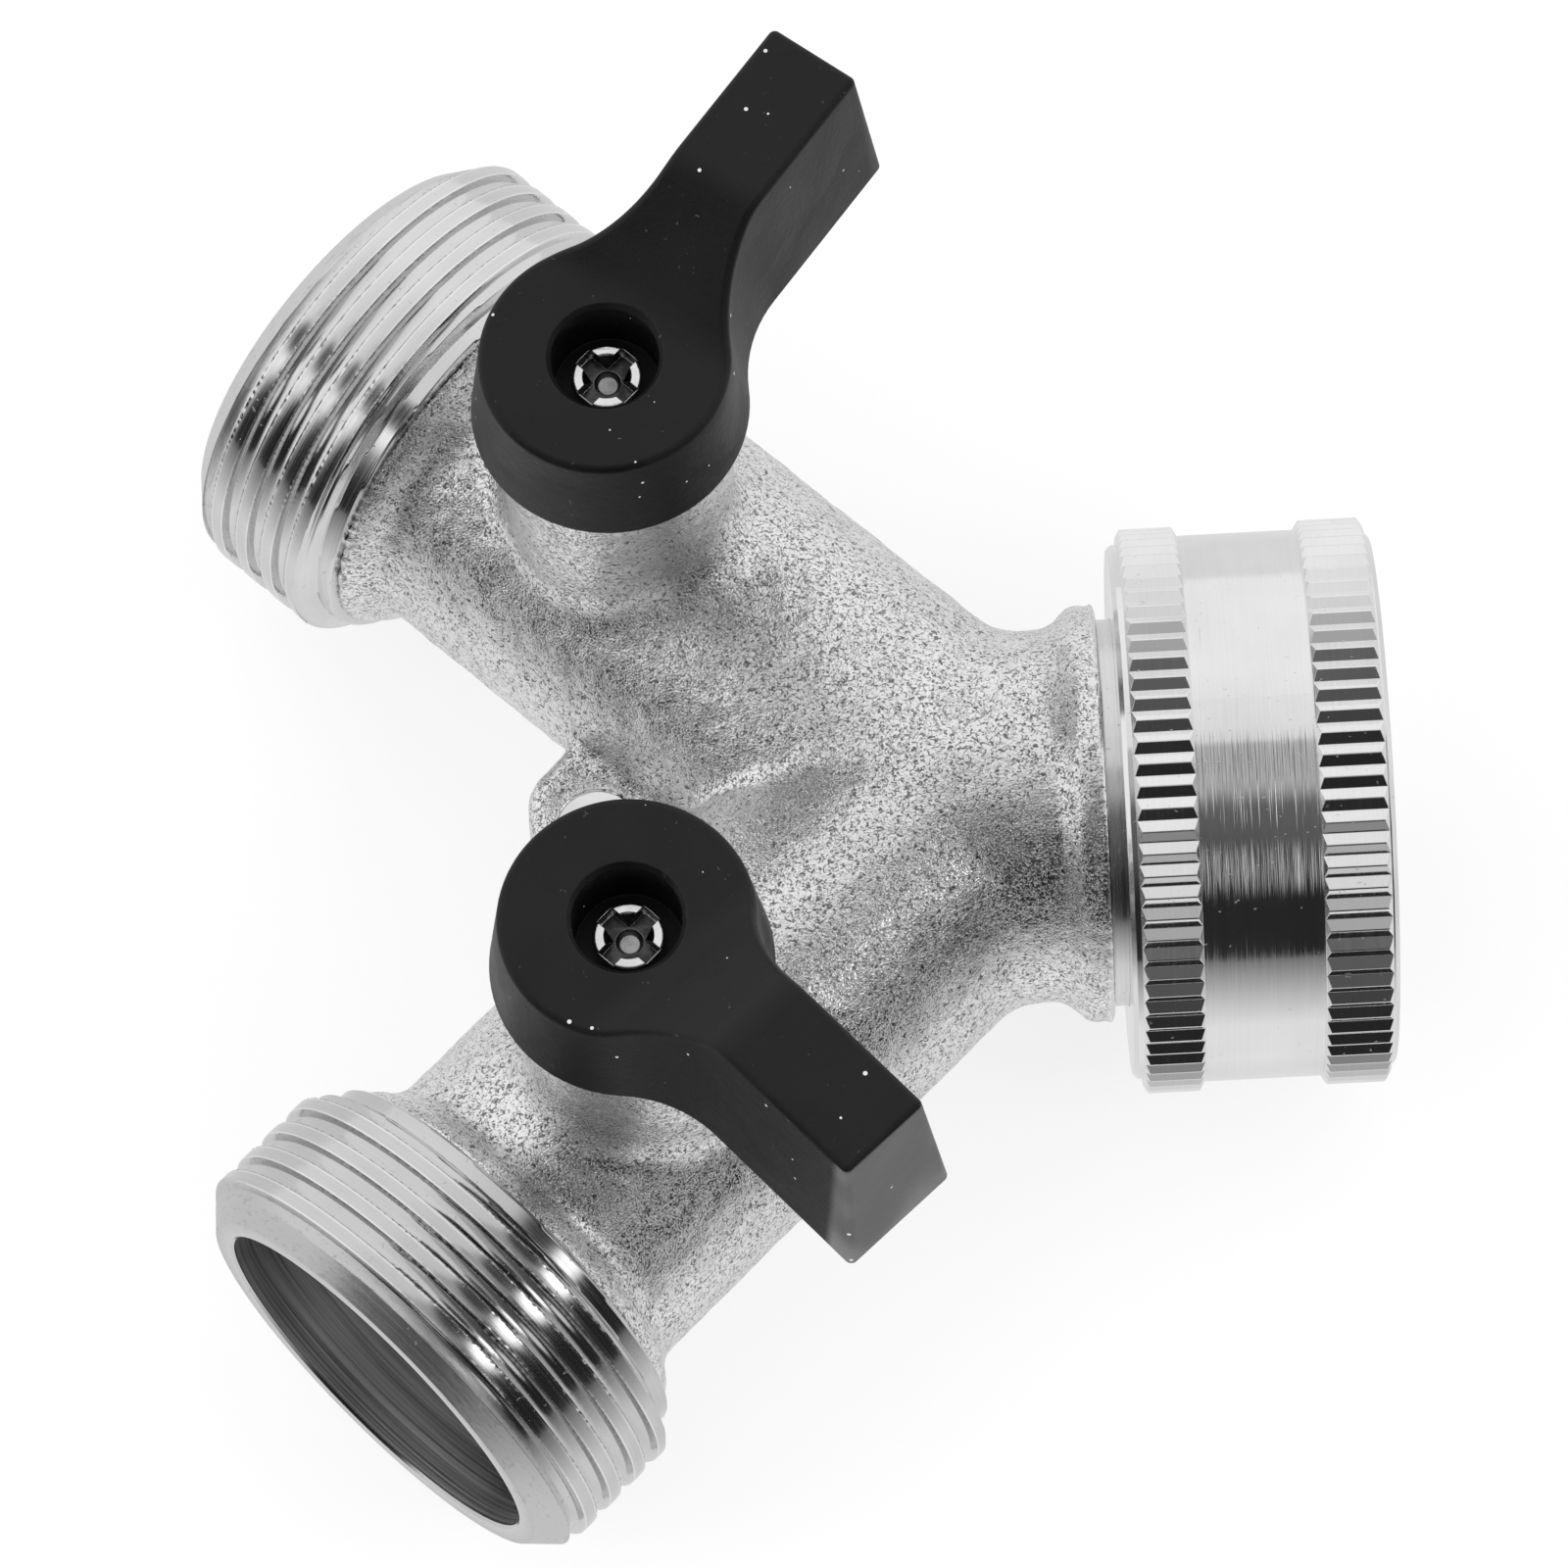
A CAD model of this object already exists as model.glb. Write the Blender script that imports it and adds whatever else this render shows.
# A two-outlet valve: a cast Y body with a swivel nut on its inlet, and a ball, a stem and a black
# lever handle on each outlet. The inlet runs along +X; outlets "a" (toward +Y) and "b" (toward -Y)
# lie in the XY plane and point toward -X. The stems stand along Z and the camera looks from -Y and
# above.
import math

import bmesh
import bpy
import numpy as np
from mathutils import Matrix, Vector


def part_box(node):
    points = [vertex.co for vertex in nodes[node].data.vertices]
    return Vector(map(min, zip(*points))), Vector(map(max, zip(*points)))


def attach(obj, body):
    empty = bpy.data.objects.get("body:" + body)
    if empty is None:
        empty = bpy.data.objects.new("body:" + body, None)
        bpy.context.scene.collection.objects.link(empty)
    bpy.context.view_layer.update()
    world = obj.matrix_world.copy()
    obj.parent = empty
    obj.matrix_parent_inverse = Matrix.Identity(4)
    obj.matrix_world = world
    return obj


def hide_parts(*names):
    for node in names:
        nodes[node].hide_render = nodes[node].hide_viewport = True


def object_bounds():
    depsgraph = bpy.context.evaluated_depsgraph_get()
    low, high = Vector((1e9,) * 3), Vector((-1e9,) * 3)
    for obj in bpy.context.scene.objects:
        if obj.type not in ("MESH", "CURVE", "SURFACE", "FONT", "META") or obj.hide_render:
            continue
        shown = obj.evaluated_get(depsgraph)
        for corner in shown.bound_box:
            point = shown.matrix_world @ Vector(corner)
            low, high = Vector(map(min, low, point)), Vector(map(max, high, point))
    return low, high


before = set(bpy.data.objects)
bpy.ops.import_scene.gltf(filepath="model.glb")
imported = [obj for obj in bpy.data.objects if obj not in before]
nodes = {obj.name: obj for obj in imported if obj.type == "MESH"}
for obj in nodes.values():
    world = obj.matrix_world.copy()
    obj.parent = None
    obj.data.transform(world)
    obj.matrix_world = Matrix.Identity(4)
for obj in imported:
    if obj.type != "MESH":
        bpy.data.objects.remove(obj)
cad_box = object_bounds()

import openvdb
from mathutils import Matrix, Vector, noise

MM = 0.001
scene = bpy.context.scene

# ------------------------------------------------------------------ layout, in metres
JUNCTION_X_MM = -23.5  # where the two outlet axes meet
JUNCTION = Vector((JUNCTION_X_MM * MM, 0.0, 0.0))
STEM_DISTANCE = 0.0225  # from the junction, along each outlet
SHOULDER_CUT = 0.0336  # from the junction to where the cast shoulder meets the turned outlet end
OUTLET_ANGLE = {"a": math.radians(136.0), "b": math.radians(224.0)}
ARM = {k: Vector((math.cos(v), math.sin(v), 0.0)) for k, v in OUTLET_ANGLE.items()}
STEM = {k: JUNCTION + ARM[k] * STEM_DISTANCE for k in ARM}
NUT_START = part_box("swivel_nut")[0][0]
NUT_TURNED_BAND = (NUT_START + 0.00375, NUT_START + 0.0101)


# ------------------------------------------------------------------ node helpers
class Graph:
    """A short way to write the nodes of a material or a world."""

    def __init__(self, owner, output="ShaderNodeOutputMaterial",
                 surface="ShaderNodeBsdfPrincipled"):
        self.owner = owner
        owner.use_nodes = True
        self.tree = owner.node_tree
        self.tree.nodes.clear()
        self.output = self.node(output)
        self.surface = self.node(surface)
        self.put(self.output.inputs["Surface"], self.surface.outputs[0])
        self.coord = self.node("ShaderNodeTexCoord")
        self.object = self.coord.outputs["Object"]

    def put(self, socket, value):
        """Link a socket, or set its value; a number or a triple becomes a colour if need be."""
        if isinstance(value, bpy.types.NodeSocket):
            self.tree.links.new(value, socket)
        elif isinstance(value, (int, float)) and socket.type == "RGBA":
            socket.default_value = (value, value, value, 1.0)
        elif isinstance(value, (tuple, list)) and socket.type == "RGBA":
            socket.default_value = tuple(value) + ((1.0,) if len(value) == 3 else ())
        else:
            socket.default_value = value

    def node(self, kind, settings=None, **inputs):
        made = self.tree.nodes.new(kind)
        for name, value in (settings or {}).items():
            setattr(made, name, value)
        for name, value in inputs.items():
            self.put(made.inputs[name.replace("_", " ")], value)
        return made

    def math(self, operation, *values, clamp=False):
        made = self.node("ShaderNodeMath", {"operation": operation, "use_clamp": clamp})
        for socket, value in zip(made.inputs, values):
            self.put(socket, value)
        return made.outputs[0]

    def multiply(self, a, b):
        return self.math("MULTIPLY", a, b)

    def add(self, a, b, weight=None):
        return self.math("ADD", a, b if weight is None else self.multiply(b, weight))

    def subtract(self, a, b, weight):
        return self.math("SUBTRACT", a, self.multiply(b, weight))

    def invert(self, value, clamp=False):
        return self.math("SUBTRACT", 1.0, value, clamp=clamp)

    def vector_math(self, operation, *vectors):
        made = self.node("ShaderNodeVectorMath", {"operation": operation})
        for socket, value in zip(made.inputs, vectors):
            self.put(socket, value)
        is_number = operation in ("DOT_PRODUCT", "LENGTH")
        return made.outputs["Value" if is_number else "Vector"]

    def split(self, vector):
        return self.node("ShaderNodeSeparateXYZ", Vector=vector).outputs

    def attribute(self, name):
        return self.node("ShaderNodeAttribute", {"attribute_name": name}).outputs["Fac"]

    def ramp(self, value, over, to=(0.0, 1.0), smooth=True):
        """Carry the range `over` to the range `to`."""
        made = self.node("ShaderNodeMapRange", {
            "interpolation_type": "SMOOTHSTEP" if smooth else "LINEAR", "clamp": True})
        for name, x in (("Value", value), ("From Min", over[0]), ("From Max", over[1]),
                        ("To Min", to[0]), ("To Max", to[1])):
            self.put(made.inputs[name], x)
        return made.outputs["Result"]

    def mix(self, base, to, mask, strength=None):
        """Go from colour `base` to colour `to` where the mask, times strength, is 1."""
        if strength is not None:
            mask = self.multiply(mask, strength)
        made = self.node("ShaderNodeMix", {"data_type": "RGBA"})
        for slot, value in ((0, mask), (6, base), (7, to)):
            self.put(made.inputs[slot], value)
        return made.outputs[2]

    def turned(self, angle):
        """Object coordinates turned so that X runs along an axis at this angle."""
        return self.node("ShaderNodeMapping", Rotation=(0, 0, -angle),
                         Vector=self.object).outputs["Vector"]

    def noise(self, vector, scale, detail=2.0, rough=0.5, distort=0.0):
        """Noise; a triple for the scale stretches it along X, Y and Z."""
        if isinstance(scale, tuple):
            vector = self.node("ShaderNodeMapping", Scale=scale, Vector=vector).outputs["Vector"]
            scale = 1.0
        return self.node("ShaderNodeTexNoise", Vector=vector, Scale=scale, Detail=detail,
                         Roughness=rough, Distortion=distort).outputs["Fac"]

    def edge(self, radius):
        """1 on edges, 0 away from them, and the softened normal."""
        soft = self.node("ShaderNodeBevel", {"samples": 6}, Radius=radius).outputs[0]
        normal = self.node("ShaderNodeNewGeometry").outputs["Normal"]
        return self.ramp(self.vector_math("DOT_PRODUCT", soft, normal), over=(0.995, 0.9)), soft

    def bump(self, height, distance, strength=1.0, normal=None):
        made = self.node("ShaderNodeBump", Height=height, Distance=distance, Strength=strength)
        if normal is not None:
            self.put(made.inputs["Normal"], normal)
        return made.outputs[0]

    def from_stem(self, stem):
        return self.vector_math("SUBTRACT", self.object, (stem.x, stem.y, 0.0))

    def done(self, **inputs):
        for name, value in inputs.items():
            self.put(self.surface.inputs[name.replace("_", " ")], value)
        return self.owner


def material(name):
    return Graph(bpy.data.materials.new(name))


# ------------------------------------------------------------------ materials
def cast_metal():
    """Nickel over a grainy casting; smooth where the attribute `machined` is 1."""
    t = material("cast_nickel")
    grain = t.noise(t.object, scale=5000.0, detail=1.8, rough=0.55, distort=1.1)
    fine = t.noise(t.object, scale=9000.0, detail=1.0)
    patch = t.noise(t.object, scale=220.0, detail=3.0, rough=0.6, distort=0.3)
    broad = t.noise(t.object, scale=60.0)
    pointiness = t.node("ShaderNodeNewGeometry").outputs["Pointiness"]
    wear = t.ramp(pointiness, over=(0.505, 0.56))
    hollow = t.ramp(pointiness, over=(0.495, 0.44))
    machined = t.attribute("machined")
    cast = t.invert(machined, clamp=True)
    worm = t.ramp(grain, over=(0.35, 0.48))
    height = t.add(t.add(worm, grain, weight=0.55), fine, weight=0.4)
    height = t.multiply(height, cast)
    normal = t.bump(patch, distance=0.00022, strength=0.5)
    normal = t.bump(height, distance=0.000062, normal=normal)
    pits = t.multiply(t.ramp(worm, over=(0.30, 0.0)), cast)
    base = t.ramp(patch, over=(0.3, 0.75), to=(0.84, 0.94))
    base = t.mix(base, to=0.08, mask=pits, strength=0.85)
    base = t.mix(base, to=0.88, mask=machined)
    base = t.mix(base, to=0.45, mask=hollow, strength=0.35)
    base = t.mix(base, to=0.92, mask=wear, strength=0.6)
    rough = t.add(t.ramp(broad, over=(0.3, 0.7), to=(0.11, 0.16)), pits, weight=0.15)
    rough = t.subtract(rough, wear, weight=0.08)
    return t.done(Base_Color=base, Metallic=1.0, Roughness=rough, Normal=normal)


def add_bore_and_tool_marks(t, vector, lines, coarse, base, rough, normal):
    """The streaked bore and the torn, polished and scuffed thread, each by its attribute."""
    bore = t.attribute("inside")
    streaks = t.add(t.multiply(lines, 0.6), coarse, weight=0.4)
    streaks = t.ramp(streaks, over=(0.38, 0.62), to=(0.22, 0.80))
    base = t.mix(base, to=streaks, mask=bore, strength=0.85)
    rough = t.add(rough, bore, weight=0.22)
    torn = t.attribute("torn")
    polished = t.attribute("polished")
    scuffed = t.attribute("scuffed")
    tear = t.noise(vector, scale=(6000.0, 1500.0, 1500.0), rough=0.6)
    base = t.mix(base, to=0.05, mask=t.ramp(torn, over=(0.35, 0.6)), strength=0.85)
    base = t.mix(base, to=0.35, mask=scuffed,
                 strength=t.ramp(tear, over=(0.56, 0.70), to=(0.0, 0.35)))
    base = t.mix(base, to=0.97, mask=polished, strength=0.9)
    rough = t.add(rough, scuffed, weight=0.20)
    height = t.multiply(tear, t.add(t.multiply(scuffed, 0.6), torn))
    return base, rough, t.bump(height, distance=0.00003, strength=0.8, normal=normal)


def turned_metal(name, tone, rough, line, depth, angle=0.0, edge=0.00012, streak=0.08,
                 tint=(1.0, 1.0, 1.0), inside=False, band=None):
    """Bright turned metal: fine lines round its axis, scattered scratches, worn edges."""
    t = material(name)
    vector = t.turned(angle)
    lines = t.noise(vector, scale=(line, 45.0, 45.0), detail=3.0, rough=0.7)
    coarse = t.noise(vector, scale=(line * 0.22, 30.0, 30.0), rough=0.6)
    cloud = t.noise(vector, scale=150.0, detail=3.0, rough=0.6)
    scratch = t.noise(vector, scale=(2600.0, 5200.0, 1800.0), detail=1.0, distort=0.4)
    nick = t.ramp(scratch, over=(0.745, 0.765))
    worn, soft = t.edge(edge) if edge else (None, None)
    height = t.add(lines, coarse, weight=0.6)
    if band:
        # the tool lines run only on the turned band, the knurled teeth are smooth
        fade = 0.00005
        along = t.split(vector)["X"]
        on = t.multiply(t.ramp(along, over=(band[0] - fade, band[0] + fade)),
                        t.ramp(along, over=(band[1] + fade, band[1] - fade)))
        height = t.multiply(height, t.add(0.12, on, weight=0.88))
    normal = t.bump(height, distance=depth, normal=soft)
    normal = t.bump(nick, distance=0.000012, strength=0.8, normal=normal)
    shade = t.ramp(lines, over=(0.3, 0.7),
                   to=(tone * (1.0 - 1.5 * streak), tone * (1.0 + 0.5 * streak)))
    shade = t.multiply(shade, t.ramp(cloud, over=(0.25, 0.75), to=(0.95, 1.03)))
    red, green, blue = [t.multiply(shade, c) for c in tint]
    base = t.node("ShaderNodeCombineColor", Red=red, Green=green, Blue=blue).outputs[0]
    if edge:
        base = t.mix(base, to=tuple(min(1.0, 0.97 * c) for c in tint), mask=worn, strength=0.5)
    dull = t.add(t.ramp(lines, over=(0.3, 0.75), to=(rough * 0.6, rough * 1.5)),
                 nick, weight=0.2)
    dull = t.add(dull, t.ramp(cloud, over=(0.35, 0.8), to=(0.0, 0.06)))
    if inside:
        base, dull, normal = add_bore_and_tool_marks(t, vector, lines, coarse, base, dull, normal)
    return t.done(Base_Color=base, Metallic=1.0, Roughness=dull, Normal=normal)


def screw_metal(name, stem):
    """Zinc plate, bright on top and round the rim, dull and dark inside the recess."""
    t = material(name)
    gap = t.split(t.from_stem(stem))
    across, depth = [t.math("POWER", t.math("ABSOLUTE", gap[axis]), 2.0) for axis in "XY"]
    radius = t.math("SQRT", t.add(across, depth))
    recess = t.multiply(t.ramp(gap["Z"], over=(0.02456, 0.02446)),
                        t.ramp(radius, over=(0.00172, 0.00166)))
    floor_mask = t.ramp(radius, over=(0.00075, 0.0004))
    brushed = t.noise(t.object, scale=(1500.0, 9000.0, 1500.0), detail=3.0, rough=0.6)
    cloud = t.noise(t.object, scale=900.0, detail=3.0, rough=0.6)
    worn, soft = t.edge(radius=0.00005)
    normal = t.bump(brushed, distance=0.000006, normal=soft)
    wall_tone = t.ramp(cloud, over=(0.3, 0.7), to=(0.03, 0.09))
    floor_tone = t.ramp(cloud, over=(0.3, 0.7), to=(0.25, 0.42))
    inner = t.mix(wall_tone, to=floor_tone, mask=floor_mask)
    top_tone = t.ramp(cloud, over=(0.3, 0.7), to=(0.78, 0.90))
    base = t.mix(top_tone, to=inner, mask=recess)
    base = t.mix(base, to=0.95, mask=worn, strength=0.8)
    rough = t.add(t.ramp(brushed, over=(0.3, 0.7), to=(0.12, 0.24)), recess, weight=0.12)
    return t.done(Base_Color=base, Metallic=1.0, Roughness=rough, Normal=normal)


def polished_metal(name, tone):
    t = material(name)
    cloud = t.noise(t.object, scale=300.0, detail=4.0, rough=0.6)
    swirl = t.noise(t.object, scale=4000.0, rough=0.6, distort=1.5)
    worn, soft = t.edge(radius=0.0001)
    normal = t.bump(swirl, distance=0.0000015, normal=soft)
    base = t.ramp(cloud, over=(0.3, 0.7), to=(tone * 0.92, tone))
    return t.done(Base_Color=t.mix(base, to=0.95, mask=worn), Metallic=1.0,
                  Roughness=t.ramp(cloud, over=(0.3, 0.75), to=(0.05, 0.14)), Normal=normal)


def moulded_black(name, stem, reach, scuff):
    """Satin black plastic: dust specks, flow marks, rubbed edges and a scuffed lever end.

    The walls are scuffed to the tone `scuff` from just inside the distance `reach` of the stem.
    """
    t = material(name)
    flat_gap = t.vector_math("MULTIPLY", t.from_stem(stem), (1.0, 1.0, 0.0))
    distance = t.vector_math("LENGTH", flat_gap)
    wave = t.noise(t.object, scale=130.0)
    tip = t.ramp(distance, over=(reach - 0.0009, reach - 0.0002))
    upright = t.split(t.node("ShaderNodeNewGeometry").outputs["Normal"])["Z"]
    wall = t.invert(t.ramp(t.math("ABSOLUTE", upright), over=(0.35, 0.6)))
    tip = t.multiply(t.multiply(tip, wall), t.ramp(wave, over=(0.38, 0.62), to=(0.45, 1.0)))
    flow = t.noise(t.object, scale=160.0, detail=3.0, rough=0.55, distort=1.2)
    orange_peel = t.noise(t.object, scale=2600.0)
    micro = t.noise(t.object, scale=9000.0, detail=1.0)
    cells = t.node("ShaderNodeTexVoronoi", {"feature": "F1", "distance": "EUCLIDEAN"},
                   Vector=t.object, Scale=820.0, Randomness=1.0)
    chance = t.node("ShaderNodeSeparateColor", Color=cells.outputs["Color"]).outputs[0]
    speck_size = t.ramp(chance, over=(0.25, 1.0), to=(0.0, 0.10), smooth=False)
    speck = t.math("LESS_THAN", cells.outputs["Distance"], speck_size)
    hair = t.noise(t.object, scale=(4000.0, 2600.0, 2500.0), detail=1.0, distort=1.0)
    scratch = t.ramp(hair, over=(0.765, 0.785))
    worn, soft = t.edge(radius=0.00012)
    normal = t.bump(flow, distance=0.00012, strength=0.35, normal=soft)
    normal = t.bump(t.add(orange_peel, micro, weight=0.4), distance=0.000016, normal=normal)
    normal = t.bump(speck, distance=0.00003, strength=0.6, normal=normal)
    base = t.ramp(flow, over=(0.3, 0.75), to=(0.003, 0.006))
    base = t.mix(base, to=scuff, mask=tip)
    base = t.mix(base, to=0.03, mask=worn, strength=0.4)
    base = t.mix(base, to=0.11, mask=scratch, strength=0.5)
    base = t.mix(base, to=0.65, mask=speck)
    rough = t.add(t.ramp(flow, over=(0.3, 0.7), to=(0.36, 0.46)), micro, weight=0.08)
    return t.done(Base_Color=base, Metallic=0.0, Roughness=rough, IOR=1.49,
                  Specular_IOR_Level=0.30, Normal=normal)


def plain_polymer(name, tone, dark, rough, bump):
    """White plastic or black rubber, by tone."""
    t = material(name)
    grain = t.noise(t.object, scale=1800.0, detail=4.0, rough=0.6)
    cloud = t.noise(t.object, scale=250.0, detail=3.0, rough=0.6)
    worn, soft = t.edge(radius=0.00015)
    normal = t.bump(grain, distance=bump, normal=soft)
    base = t.mix(dark, to=tone, mask=t.ramp(cloud, over=(0.3, 0.7)))
    edge_tone = tuple(min(1.0, c * 1.5 + 0.02) for c in tone)
    base = t.mix(base, to=edge_tone, mask=worn, strength=0.3)
    return t.done(Base_Color=base, Metallic=0.0, Normal=normal,
                  Roughness=t.ramp(grain, over=(0.3, 0.7), to=(rough - 0.08, rough + 0.08)))


def dress(thing, finish):
    thing.data.materials.clear()
    thing.data.materials.append(finish)


CAST = cast_metal()
OUTLET_TONE = {"a": 0.76, "b": 0.66}
TURNED = {k: turned_metal("turned_outlet_" + k, OUTLET_TONE[k], angle=OUTLET_ANGLE[k], rough=0.13,
                          line=8000.0, depth=0.000004, edge=0.0, streak=0.03, inside=True)
          for k in ARM}
NUT = turned_metal("turned_chrome", tone=0.87, rough=0.07, line=6500.0, depth=0.000040,
                   edge=0.00005, streak=0.012, band=NUT_TURNED_BAND)
TAIL = turned_metal("turned_tailpiece", tone=0.80, rough=0.20, line=7000.0, depth=0.000008)
ZINC = {k: screw_metal("zinc_plated_" + k, STEM[k]) for k in STEM}
BRASS = turned_metal("brass", tone=0.80, rough=0.24, line=6000.0, depth=0.000008,
                     tint=(1.0, 0.80, 0.42))
BALL = polished_metal("ball_chrome", tone=0.88)
BLACK = {"a": moulded_black("black_plastic_a", STEM["a"], reach=0.01957, scuff=0.04),
         "b": moulded_black("black_plastic_b", STEM["b"], reach=0.01878, scuff=0.17)}
RUBBER = plain_polymer("rubber", tone=(0.03, 0.03, 0.03), dark=(0.018, 0.018, 0.018),
                       rough=0.55, bump=0.00003)
WHITE = plain_polymer("white_plastic", tone=(0.86, 0.86, 0.83), dark=(0.78, 0.78, 0.75),
                      rough=0.42, bump=0.000015)


def add_body_part(name, mesh, finish):
    part = bpy.data.objects.new(name, mesh)
    scene.collection.objects.link(part)
    dress(part, finish)
    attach(part, "housing")
    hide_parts("body")


def add_point_values(mesh, name, values):
    mesh.attributes.new(name, "FLOAT", "POINT").data.foreach_set(
        "value", values.astype(np.float32))


# ------------------------------------------------------------------ cast skin, in mm
VOXEL = 0.25
BAND_VOXELS = 6.0  # half width of the distance field's band
FIELD_LOW = np.array([-57.5, -34.5, -12.5])
FIELD_HIGH = np.array([-13.5, 34.5, 22.9])
CAST_SOFTENING = 0.5
SMALLEST_SHELL = 400  # faces
# unevenness of the casting: height, frequency, shift of the noise
UNEVENNESS = [
    (0.050, 0.42, (0.0, 0.0, 0.0)),
    (0.040, 1.05, (9.1, 3.3, 7.7)),
    (0.030, 1.9, (1.7, 8.2, 4.4)),
]


def blur(values, sigma, axis):
    reach = int(math.ceil(3 * sigma))
    weights = np.exp(-0.5 * (np.arange(-reach, reach + 1) / sigma) ** 2)
    weights /= weights.sum()
    margin = [(0, 0)] * 3
    margin[axis] = (reach, reach)
    padded = np.pad(values, margin, mode="edge")
    out = np.zeros_like(values)
    for i, weight in enumerate(weights):
        window = [slice(None)] * 3
        window[axis] = slice(i, i + values.shape[axis])
        out += np.float32(weight) * padded[tuple(window)]
    return out


def smoothstep(value, low, high):
    share = np.clip((value - low) / (high - low), 0, 1)
    return share * share * (3 - 2 * share)


def outlet_coordinates(outlet, x, y):
    """Distance along an outlet's axis from the junction, and sideways from it."""
    centre, arm = JUNCTION / MM, ARM[outlet]
    along = (x - centre.x) * arm.x + (y - centre.y) * arm.y
    across = (x - centre.x) * -arm.y + (y - centre.y) * arm.x
    return along, across


def body_distance():
    """Distance to the surface of the body's own solid, negative inside, on the voxel grid."""
    bm = bmesh.new()
    bm.from_mesh(nodes["body"].data)
    bmesh.ops.remove_doubles(bm, verts=bm.verts, dist=2e-7)
    bmesh.ops.triangulate(bm, faces=bm.faces)
    points = np.array([v.co for v in bm.verts], np.float64) / MM
    triangles = np.array([[v.index for v in f.verts] for f in bm.faces], np.int32)
    bm.free()
    grid = openvdb.FloatGrid.createLevelSetFromPolygons(
        np.ascontiguousarray((points - FIELD_LOW) / VOXEL, np.float32),
        triangles=np.ascontiguousarray(triangles, np.uint32),
        transform=openvdb.createLinearTransform(1.0), halfWidth=BAND_VOXELS)
    shape = tuple(int(round(v)) for v in (FIELD_HIGH - FIELD_LOW) / VOXEL)
    field = np.zeros(shape, np.float32)
    grid.copyToArray(field, ijk=(0, 0, 0))
    field *= np.float32(VOXEL)
    return field


def machined_share(x, y, z):
    """1 on machined or inner surfaces, which keep their exact shape, and 0 on cast ones."""
    share = smoothstep(x, -15.35, -15.0)  # the end at +X
    for outlet in ARM:
        along, across = outlet_coordinates(outlet, x, y)
        radius = np.sqrt(across * across + z * z)
        bore = smoothstep(radius, 9.0, 8.5) * smoothstep(along, -2.0, 0.0)
        stem = STEM[outlet] / MM
        radius = np.sqrt((x - stem.x) ** 2 + (y - stem.y) ** 2)
        well = smoothstep(radius, 5.35, 5.1) * smoothstep(z, 8.0, 9.0)
        top_face = smoothstep(z, 19.9, 20.2)
        share = np.maximum(share, np.maximum(bore, np.maximum(well, top_face)))
    radius = np.sqrt(y * y + z * z)
    inlet_bore = smoothstep(radius, 9.2, 8.7) * smoothstep(x, -26.0, -24.0)
    share = np.maximum(share, inlet_bore)
    radius = np.sqrt((x + 41.9) ** 2 + y * y)
    upright_hole = smoothstep(radius, 2.6, 2.35)  # between the two outlets
    return np.maximum(share, upright_hole)


def sample(field, points):
    """Field values at points given in voxels, by trilinear interpolation."""
    cell = np.clip(np.floor(points).astype(int), 0, np.array(field.shape) - 2)
    f = points - cell
    total = 0
    for dx in (0, 1):
        for dy in (0, 1):
            for dz in (0, 1):
                weight = ((f[:, 0] if dx else 1 - f[:, 0]) * (f[:, 1] if dy else 1 - f[:, 1])
                          * (f[:, 2] if dz else 1 - f[:, 2]))
                corner = field[cell[:, 0] + dx, cell[:, 1] + dy, cell[:, 2] + dz]
                total = total + weight * corner
    return total


def surface_of(field):
    """Points in voxels, quads and normals of the field's zero surface."""
    grid = openvdb.FloatGrid(background=float(BAND_VOXELS * VOXEL))
    grid.copyFromArray(field)
    points, quads = grid.convertToQuads(0.0)
    points = np.asarray(points, np.float64)
    slopes = np.gradient(field, VOXEL)

    def slope_at(places, shortest):
        slope = np.stack([sample(s, places) for s in slopes], 1)
        return slope / np.maximum(np.linalg.norm(slope, axis=1, keepdims=True), shortest)

    # step each point onto the surface along the field's own slope
    for _ in range(2):
        way = slope_at(points, 0.3)
        gap = np.clip(sample(field, points), -0.1, 0.1)
        points = points - way * (gap[:, None] / VOXEL)
    return points, np.asarray(quads, np.int64), slope_at(points, 1e-6)


def drop_small_shells(bm):
    seen, shells = set(), []
    for first in bm.faces:
        if first.index in seen:
            continue
        stack, shell = [first], []
        seen.add(first.index)
        while stack:
            face = stack.pop()
            shell.append(face)
            for edge in face.edges:
                for other in edge.link_faces:
                    if other.index not in seen:
                        seen.add(other.index)
                        stack.append(other)
        shells.append(shell)
    shells.sort(key=len)
    for shell in shells[:-1]:
        if len(shell) < SMALLEST_SHELL:
            bmesh.ops.delete(bm, geom=shell, context="FACES")


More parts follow.
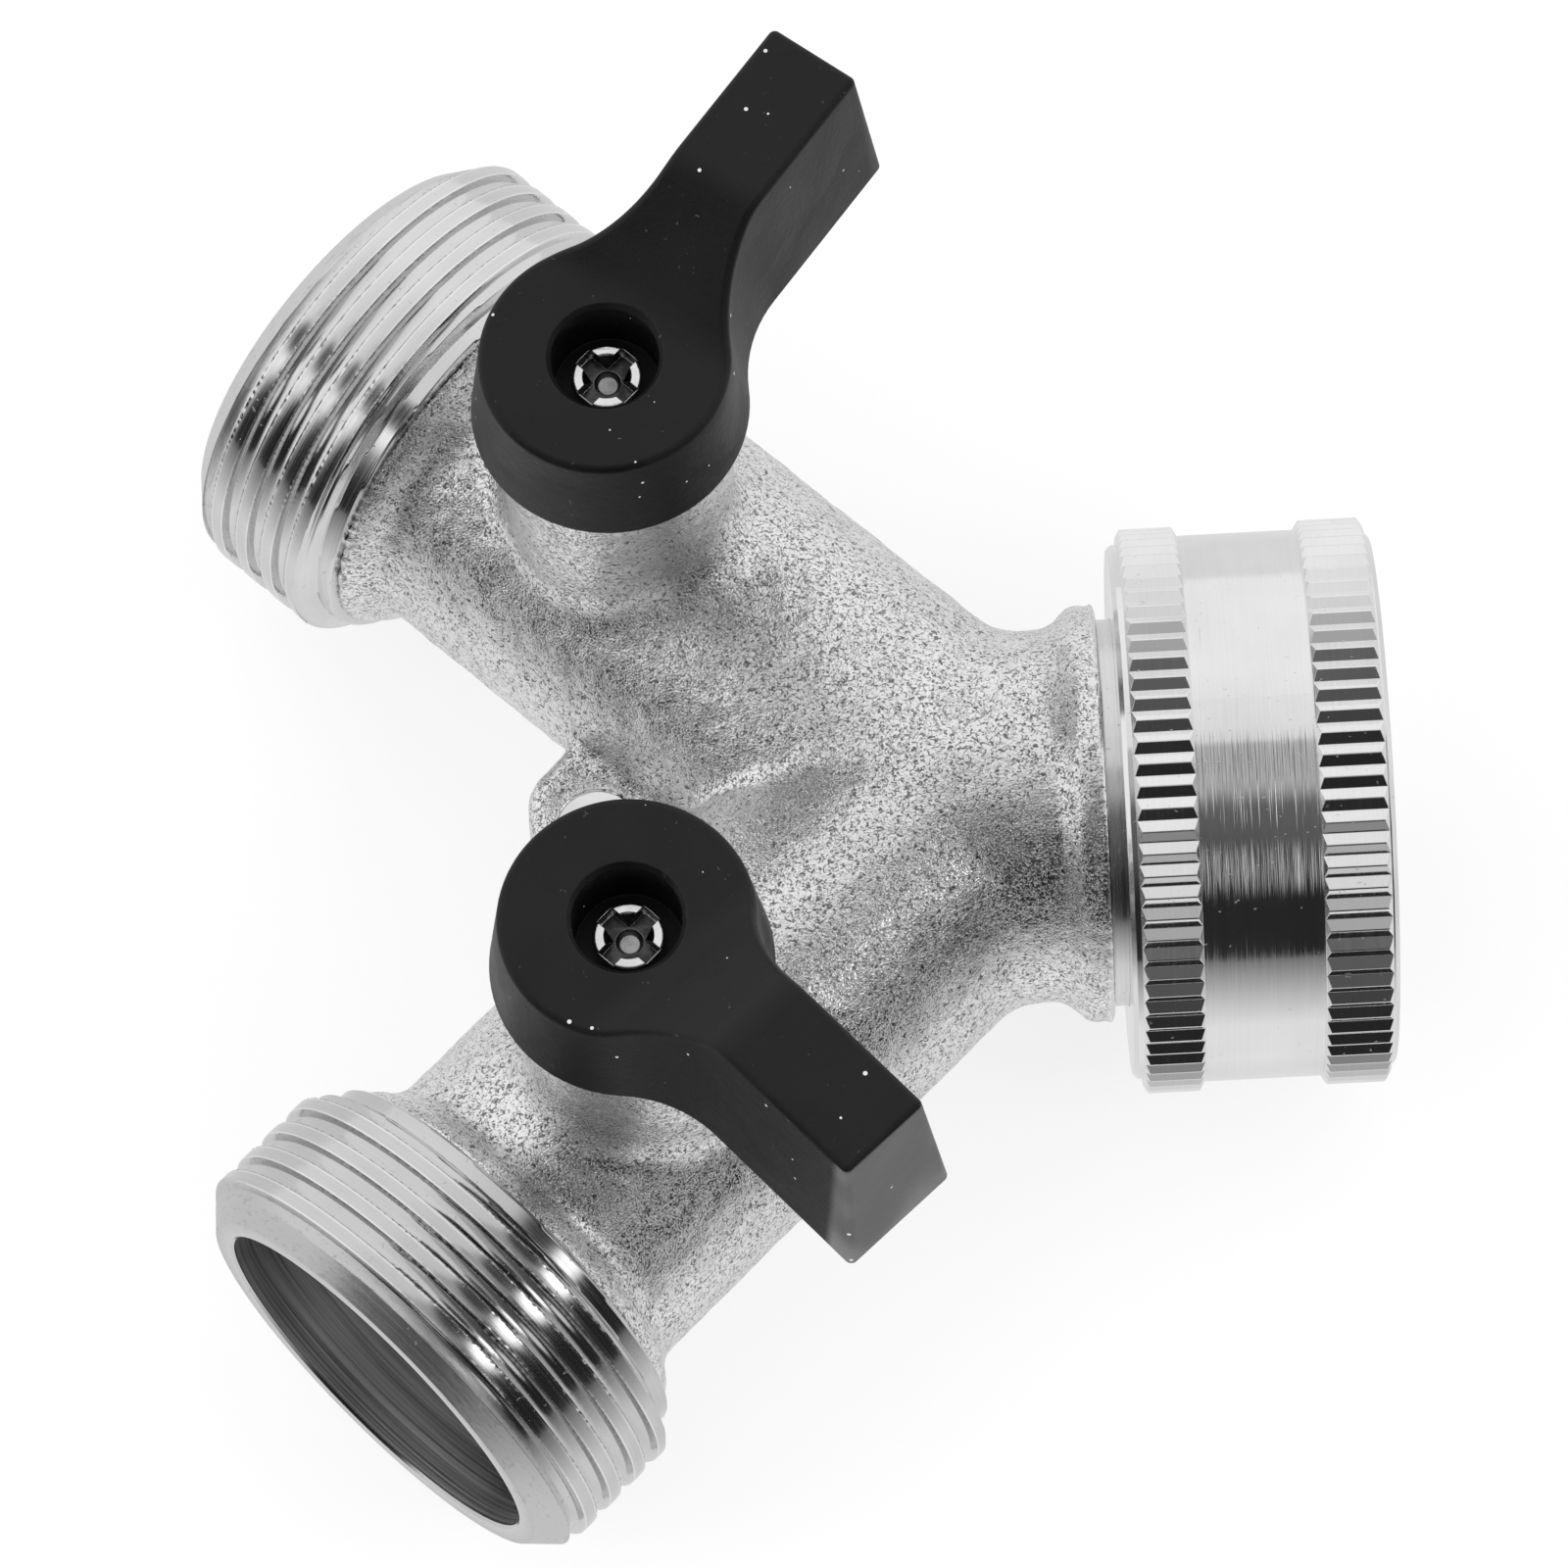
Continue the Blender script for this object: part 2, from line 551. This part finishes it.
def casting_skin():
    """The sand-cast part of the body as one closed skin: the body's own solid, resampled,
    softened where it is as cast, kept crisp where it is machined, and given the uneven surface
    of a casting."""
    field = body_distance()
    axes = [np.arange(n, dtype=np.float32) * np.float32(VOXEL) + np.float32(low)
            for n, low in zip(field.shape, FIELD_LOW)]
    x, y, z = np.meshgrid(*axes, indexing="ij")
    keep = machined_share(x, y, z)
    soft = field
    for axis in range(3):
        soft = blur(soft, CAST_SOFTENING / VOXEL, axis)
    field = field * keep + soft * (1 - keep)
    for outlet in ARM:
        along, _ = outlet_coordinates(outlet, x, y)
        field = np.maximum(field, along - np.float32(SHOULDER_CUT / MM))
    points, quads, normals = surface_of(field)
    as_cast = sample(1.0 - keep, points)
    points = points * VOXEL + FIELD_LOW
    lift = np.array([
        sum(height * noise.noise(Vector(p) * frequency + Vector(shift))
            for height, frequency, shift in UNEVENNESS)
        for p in points])
    points = points + normals * (lift * as_cast)[:, None]
    mesh = bpy.data.meshes.new("casting_skin")
    mesh.from_pydata((points * MM).tolist(), [], quads.tolist())
    mesh.update()
    add_point_values(mesh, "machined", 1.0 - as_cast)
    bm = bmesh.new()
    bm.from_mesh(mesh)
    bmesh.ops.remove_doubles(bm, verts=bm.verts, dist=1e-6)
    bmesh.ops.recalc_face_normals(bm, faces=bm.faces)
    drop_small_shells(bm)
    bm.to_mesh(mesh)
    bm.free()
    mesh.shade_smooth()
    return mesh


# ------------------------------------------------------------------ threaded outlet ends, in mm
# "along" is measured on the outlet's axis from the junction
PITCH = 1.814
CREST_RADIUS = 13.22
THREAD_START = 33.95
OUTLET_END = 43.4
OUTLET_LOW = SHOULDER_CUT / MM - 0.01
LAND = 0.84
THREAD_DEPTH = 0.60
FLANK_LEAN = math.radians(10.0)
HALF_GROOVE = (PITCH - LAND) / 2
NECK_RADIUS = 11.95  # the plain neck before the thread
NECK_END, NECK_RISE = 34.5, 0.6
LOW_RADIUS, LOW_START = 11.80, 33.58
LIP_RADIUS = 11.62
AROUND = 420
TORN_SIDE = {"a": -1.0, "b": 1.0}  # the side of the groove whose corner is torn
SEED = {"a": 31, "b": 47}
# distances of the mesh rows from the middle of a groove, up to the middle of the land
ROW_STEPS = [0.0, 0.09, 0.18, 0.27, 0.32, 0.355, 0.38, 0.40, 0.42, 0.44, 0.46, 0.475, 0.485,
             0.495, 0.51, 0.54, 0.58, 0.66, 0.78]
# the lip, the bore and its floor, between the two ends of the thread: along, radius, inside
BORE_OUTLINE = [
    (OUTLET_END, 10.58, 0), (OUTLET_END - 0.15, 10.43, 0), (OUTLET_END - 0.3, 10.43, 1),
    (36.06, 10.43, 1), (36.0, 10.37, 1), (36.0, 8.0, 1), (OUTLET_LOW, 8.0, 1),
]
ANGLES = np.arange(AROUND + 1) * 2 * math.pi / AROUND


def soft_min(a, b, width):
    share = np.clip(0.5 + 0.5 * (b - a) / width, 0, 1)
    return b * (1 - share) + a * share - width * share * (1 - share)


def lead(angle):
    """How far the helix runs along the axis in this angle."""
    return PITCH * angle / (2 * math.pi)


def from_groove(angle, along):
    """Distance along the axis from the middle of the nearest groove."""
    shift = (along - THREAD_START - lead(angle)) / PITCH
    return (shift - np.round(shift)) * PITCH


def bump_at(distance, centre, width):
    return np.exp(-((distance - centre) / width) ** 2)


def around_axis(angle, along, radius):
    return np.stack([along, radius * np.sin(angle), -radius * np.cos(angle)], 1)


class Thread:
    """The outer surface of one outlet; its crests' corners carry small burrs."""

    def __init__(self, outlet):
        self.torn_side = TORN_SIDE[outlet]
        rng = np.random.default_rng(SEED[outlet])
        self.waves = [(int(rng.integers(40, 260)), rng.random() * 6.28, rng.random() * 6.28)
                      for _ in range(14)]

    def ragged(self, angle, along):
        """Uneven, now and then torn: mostly near zero with sharp peaks."""
        turn = np.round((along - THREAD_START) / PITCH - angle / (2 * math.pi))
        value = sum(np.sin(n * angle + a + turn * b)
                    for n, a, b in self.waves) / math.sqrt(len(self.waves))
        slow = np.sin(5 * angle + turn * 2.1) + np.sin(11 * angle + turn * 1.3 + 1.0)
        return np.clip(value * (0.55 + 0.3 * slow), -1.6, 1.6)

    def radius(self, angle, along):
        rise = np.maximum(along - NECK_END, 0) * (CREST_RADIUS - NECK_RADIUS) / NECK_RISE
        limit = np.minimum(CREST_RADIUS, NECK_RADIUS + rise)
        limit = np.minimum(limit, LIP_RADIUS + (OUTLET_END - along))
        limit = np.minimum(limit, LOW_RADIUS + np.maximum(along - LOW_START, 0))
        t = from_groove(angle, along)
        ragged = self.ragged(angle, along)
        side = np.where(t * self.torn_side > 0, 1.0, 0.25)
        burr = bump_at(np.abs(t) - HALF_GROOVE, 0.025, 0.045)
        x = np.abs(t) + 0.014 * ragged * side
        wall = CREST_RADIUS - (HALF_GROOVE - x) / math.tan(FLANK_LEAN)
        root = CREST_RADIUS - THREAD_DEPTH + 0.12 * (x / HALF_GROOVE) ** 2
        groove = -soft_min(-wall, -root, 0.10)
        # the land is very slightly crowned
        crown = CREST_RADIUS - 0.018 * ((PITCH / 2 - x) / (LAND / 2)) ** 2
        radius = soft_min(np.minimum(limit, crown), groove, 0.03)
        return radius + burr * side * 0.020 * ragged * (limit > CREST_RADIUS - 0.01)

    def marks(self, angle, along):
        """Torn corners, polished corners, and the scuffed entry chamfer."""
        t = from_groove(angle, along)
        from_corner = np.abs(t) - HALF_GROOVE
        on_torn_side = t * self.torn_side > 0
        full = (along > 35.1) & (along < OUTLET_END - 1.55)
        torn = (bump_at(from_corner, -0.005, 0.042) * on_torn_side
                * np.clip(0.62 + 0.55 * self.ragged(angle, along), 0, 1) * full)
        polished = bump_at(from_corner, 0.035, 0.04) * (t * self.torn_side <= 0) * full
        polished += 0.8 * bump_at(from_corner, 0.10, 0.03) * on_torn_side * full
        scuffed = np.clip((along - (OUTLET_END - 1.7)) / 0.15, 0, 1)
        return torn, polished, scuffed


def helix_grid():
    """Angle and place along the axis of each thread vertex, and the vertex numbers by angle and
    row. The low ring comes first, then the ring at the end, then the rows, which follow the
    helix so that every crest and root is a clean line."""
    steps = sorted(set([round(-v, 4) for v in ROW_STEPS] + ROW_STEPS + [PITCH / 2]))
    starts = np.array([THREAD_START + n * PITCH + v for n in range(-2, 7) for v in steps])
    rows, per_turn = len(starts), len(steps)
    angle, along = np.meshgrid(ANGLES[:-1], starts, indexing="ij")
    along = along + lead(angle)
    between = (along > OUTLET_LOW + 1e-4) & (along < OUTLET_END - 1e-4)
    low_ring = np.arange(AROUND)
    end_ring = AROUND + low_ring
    number = np.full((AROUND + 1, rows), -1, np.int64)
    number[:-1][between] = 2 * AROUND + np.arange(int(between.sum()))
    ring_number = np.where(along <= OUTLET_LOW + 1e-4, low_ring[:, None], end_ring[:, None])
    number[:-1] = np.where(between, number[:-1], ring_number)
    # a full turn later each row meets the one a pitch further on
    number[-1, :rows - per_turn] = number[0, per_turn:]
    number[-1, rows - per_turn:] = end_ring[0]
    angle = np.concatenate([ANGLES[:-1], ANGLES[:-1], angle[between]])
    along = np.concatenate([np.full(AROUND, OUTLET_LOW), np.full(AROUND, OUTLET_END),
                            along[between]])
    return angle, along, number


def thread_normals(thread, angle, along, radius):
    """Normals from the slopes of the radius along the axis and round it."""
    h = 0.006
    turn = h / 13
    slope_along = (thread.radius(angle, along + h) - thread.radius(angle, along - h)) / (2 * h)
    slope_round = ((thread.radius(angle + turn, along) - thread.radius(angle - turn, along))
                   / (2 * h / 13))
    slope_along[AROUND:2 * AROUND] = -1.0
    slope_along[:AROUND] = 1.0
    slope_round[:2 * AROUND] = 0.0
    normals = np.stack([-slope_along,
                        np.sin(angle) - slope_round / radius * np.cos(angle),
                        -np.cos(angle) - slope_round / radius * np.sin(angle)], 1)
    return normals / np.linalg.norm(normals, axis=1, keepdims=True)


def outlet_end(outlet):
    """The turned and threaded end of one outlet, a closed shell with its own normals."""
    thread = Thread(outlet)
    angle, along, number = helix_grid()
    radius = thread.radius(angle, along)
    normals = thread_normals(thread, angle, along, radius)
    quads = np.stack([number[:-1, :-1], number[1:, :-1], number[1:, 1:], number[:-1, 1:]], -1)
    faces, corners = [], []
    for quad in quads.reshape(-1, 4).tolist():
        face = list(dict.fromkeys(quad))
        if len(face) > 2:
            faces.append(face)
            corners.extend(normals[v] for v in face)

    around = ANGLES[:-1]
    points = [around_axis(angle, along, radius)]
    count = len(angle)
    inside = [np.zeros(count)]
    rings = [AROUND + np.arange(AROUND)]
    for place, ring_radius, is_inside in BORE_OUTLINE:
        points.append(around_axis(around, np.full(AROUND, place), np.full(AROUND, ring_radius)))
        inside.append(np.full(AROUND, float(is_inside)))
        rings.append(count + np.arange(AROUND))
        count += AROUND
    rings.append(np.arange(AROUND))
    outline = [(OUTLET_END, LIP_RADIUS, 0), *BORE_OUTLINE, (OUTLET_LOW, float(radius[0]), 0)]
    for i in range(len(outline) - 1):
        (along_0, radius_0, _), (along_1, radius_1, _) = outline[i], outline[i + 1]
        across, run = -(radius_1 - radius_0), along_1 - along_0
        length = math.hypot(across, run)
        normal = around_axis(around, np.full(AROUND, across / length), run / length)
        near, far = rings[i], rings[i + 1]
        for j in range(AROUND):
            k = (j + 1) % AROUND
            faces.append([int(near[j]), int(near[k]), int(far[k]), int(far[j])])
            corners.extend((normal[j], normal[k], normal[k], normal[j]))

    cos, sin = math.cos(OUTLET_ANGLE[outlet]), math.sin(OUTLET_ANGLE[outlet])
    turn = np.array([[cos, -sin, 0], [sin, cos, 0], [0, 0, 1]])
    placed = np.concatenate(points) @ turn.T * MM + np.array(JUNCTION)
    mesh = bpy.data.meshes.new("outlet_end_" + outlet)
    mesh.from_pydata([tuple(p) for p in placed], [], faces)
    mesh.update()
    mesh.shade_smooth()
    mesh.normals_split_custom_set([tuple(n) for n in (np.array(corners) @ turn.T)])
    add_point_values(mesh, "inside", np.concatenate(inside))
    bore_zeros = np.zeros(count - len(angle))
    for name, values in zip(("torn", "polished", "scuffed"), thread.marks(angle, along)):
        add_point_values(mesh, name, np.concatenate([values, bore_zeros]))
    return mesh


add_body_part("casting_skin", casting_skin(), CAST)
for outlet in ARM:
    add_body_part("outlet_end_" + outlet, outlet_end(outlet), TURNED[outlet])

# ------------------------------------------------------------------ finishes of the CAD pieces
FINISHES = {"swivel_nut": NUT, "inlet_tailpiece": TAIL, "tailpiece_oring": RUBBER,
            "hose_washer": RUBBER}
for k in ARM:
    FINISHES.update({
        "handle_" + k: BLACK[k], "handle_screw_" + k: ZINC[k], "stem_" + k: BRASS,
        "stem_orings_" + k: RUBBER, "thrust_washer_" + k: WHITE, "ball_" + k: BALL,
        "seat_inner_" + k: WHITE, "seat_outer_" + k: WHITE, "seat_retainer_" + k: TAIL,
    })
for name, finish in FINISHES.items():
    dress(nodes[name], finish)


# ------------------------------------------------------------------ floor
def floor_white():
    """White paper lit through from below, which keeps its shadows faint."""
    t = material("floor_white")
    paper = t.noise(t.object, scale=900.0, detail=3.0, rough=0.6)
    t.done(Base_Color=t.ramp(paper, over=(0.2, 0.8), to=(0.955, 0.965)), Roughness=0.9,
           Specular_IOR_Level=0.0)
    # in reflections the glow depends on the direction it leaves in
    back = t.split(t.node("ShaderNodeNewGeometry").outputs["Incoming"])
    graze = t.ramp(back["Z"], over=(0.0, 0.62), to=(0.16, 0.84), smooth=False)
    reflected = t.add(t.multiply(graze, t.ramp(back["Y"], over=(0.10, 0.45))),
                      t.multiply(0.76, t.ramp(back["Y"], over=(0.45, 0.10))))
    mirror = t.multiply(t.node("ShaderNodeLightPath").outputs["Is Glossy Ray"], 1.0)
    direct_glow = 1.02
    strength = t.add(t.multiply(mirror, reflected), t.invert(mirror), weight=direct_glow)
    glow = t.node("ShaderNodeEmission", Color=(1.0, 1.0, 1.0), Strength=strength)
    # the glow's share is 0.72, and all of it in reflections
    blend = t.node("ShaderNodeMixShader", Fac=t.add(0.72, mirror, weight=0.28))
    t.put(blend.inputs[1], t.surface.outputs[0])
    t.put(blend.inputs[2], glow.outputs[0])
    t.put(t.output.inputs["Surface"], blend.outputs[0])
    return t.owner


def add_floor():
    bm = bmesh.new()
    bmesh.ops.create_grid(bm, x_segments=8, y_segments=8, size=4.0)
    mesh = bpy.data.meshes.new("floor")
    bm.to_mesh(mesh)
    bm.free()
    floor = bpy.data.objects.new("floor", mesh)
    scene.collection.objects.link(floor)
    floor.location = (0, 0, cad_box[0][2])
    dress(floor, floor_white())


add_floor()

# ------------------------------------------------------------------ surroundings and lights
# round spots in the reflected surroundings, in degrees: azimuth, elevation, radius, amount
DARK_SPOTS = [(-168.0, 57.0, 8.0, 0.93), (-4.0, 62.0, 11.0, 0.88)]
BRIGHT_SPOTS = [(-157.0, 44.0, 6.0, 0.42), (-24.0, 45.0, 7.0, 1.7),
                (-56.0, 34.0, 9.0, 0.8), (-124.0, 34.0, 9.0, 0.8)]


def direction(azimuth, elevation):
    az, el = math.radians(azimuth), math.radians(elevation)
    return (math.cos(el) * math.cos(az), math.cos(el) * math.sin(az), math.sin(el))


def build_world():
    world = bpy.data.worlds.new("studio")
    scene.world = world
    world.cycles.sampling_method = "NONE"
    t = Graph(world, output="ShaderNodeOutputWorld", surface="ShaderNodeBackground")
    way = t.coord.outputs["Generated"]
    path = t.node("ShaderNodeLightPath").outputs
    x, y, z = t.split(way)

    def spot(azimuth, elevation, radius, soft):
        cosine = t.vector_math("DOT_PRODUCT", way, direction(azimuth, elevation))
        return t.ramp(cosine, over=(math.cos(math.radians(radius + soft)),
                                    math.cos(math.radians(radius - soft))))

    # bright tent all round, greyer overhead, and the dark open side the camera looks in from
    tent = t.ramp(z, over=(0.78, 0.99), to=(0.92, 0.80))
    first = t.multiply(t.ramp(y, over=(0.09, 0.05), to=(0.0, 0.50)),
                       t.ramp(x, over=(-0.45, -0.20)))
    front = t.add(first, t.multiply(t.ramp(y, over=(-0.18, -0.40)), t.invert(first)))
    dim_side = t.ramp(z, over=(0.45, 0.92), to=(0.02, 0.12))
    level = t.add(t.multiply(tent, t.invert(front)), t.multiply(front, dim_side))
    for azimuth, elevation, radius, amount in DARK_SPOTS:
        dark = spot(azimuth, elevation, radius, soft=3)
        level = t.multiply(level, t.invert(t.multiply(dark, amount)))
    for azimuth, elevation, radius, amount in BRIGHT_SPOTS:
        level = t.add(level, spot(azimuth, elevation, radius, soft=4), weight=amount)
    # the camera and diffuse rays see plain white
    seen = t.math("MAXIMUM", path["Is Camera Ray"], path["Is Diffuse Ray"])
    plain_white = 1.06
    strength = t.add(t.multiply(seen, plain_white), t.multiply(t.invert(seen), level))
    t.done(Strength=strength, Color=(1, 1, 1, 1))


def panel(name, azimuth, elevation, distance, size, power):
    """A soft light panel aimed at the part; it lights, and does not show in the reflections."""
    data = bpy.data.lights.new(name, "AREA")
    data.shape = "SQUARE"
    data.size = size
    data.energy = power
    light = bpy.data.objects.new(name, data)
    scene.collection.objects.link(light)
    light.visible_glossy = False
    way = Vector(direction(azimuth, elevation))
    light.location = JUNCTION + way * distance
    light.rotation_euler = way.to_track_quat("Z", "Y").to_euler()


build_world()
panel("panel_left", azimuth=-162.0, elevation=43.0, distance=0.9, size=0.30, power=1.2)
panel("panel_right", azimuth=-30.0, elevation=45.0, distance=0.9, size=0.30, power=1.2)

# ------------------------------------------------------------------ camera
# the turn and shift that carry places, in mm from the junction, into the camera's frame, whose
# X is right, Y down and Z forward; the turn is its axis times its angle in radians
VIEW_TURN = np.array([-3.541649, 0.087715, 0.040533])
VIEW_SHIFT = np.array([8.44685, 2.00795, 480.78854])


def add_camera():
    data = bpy.data.cameras.new("camera")
    camera = bpy.data.objects.new("camera", data)
    scene.collection.objects.link(camera)
    angle = np.linalg.norm(VIEW_TURN)
    x, y, z = VIEW_TURN / angle
    cross = np.array([[0, -z, y], [z, 0, -x], [-y, x, 0]])
    turn = np.eye(3) + math.sin(angle) * cross + (1 - math.cos(angle)) * (cross @ cross)
    eye = -turn.T @ VIEW_SHIFT
    pose = Matrix.Identity(4)
    for i in range(3):
        pose[i][0], pose[i][1], pose[i][2] = turn[0][i], -turn[1][i], -turn[2][i]
    pose[0][3] = (eye[0] + JUNCTION_X_MM) * MM
    pose[1][3] = eye[1] * MM
    pose[2][3] = eye[2] * MM
    camera.matrix_world = pose
    data.sensor_fit = "HORIZONTAL"
    data.sensor_width = 36.0
    data.lens = 206.10585
    data.clip_start = 0.01
    data.clip_end = 50.0
    scene.camera = camera


add_camera()

scene.view_settings.view_transform = "Standard"
scene.view_settings.look = "None"
scene.view_settings.exposure = 0.0
scene.view_settings.gamma = 1.0
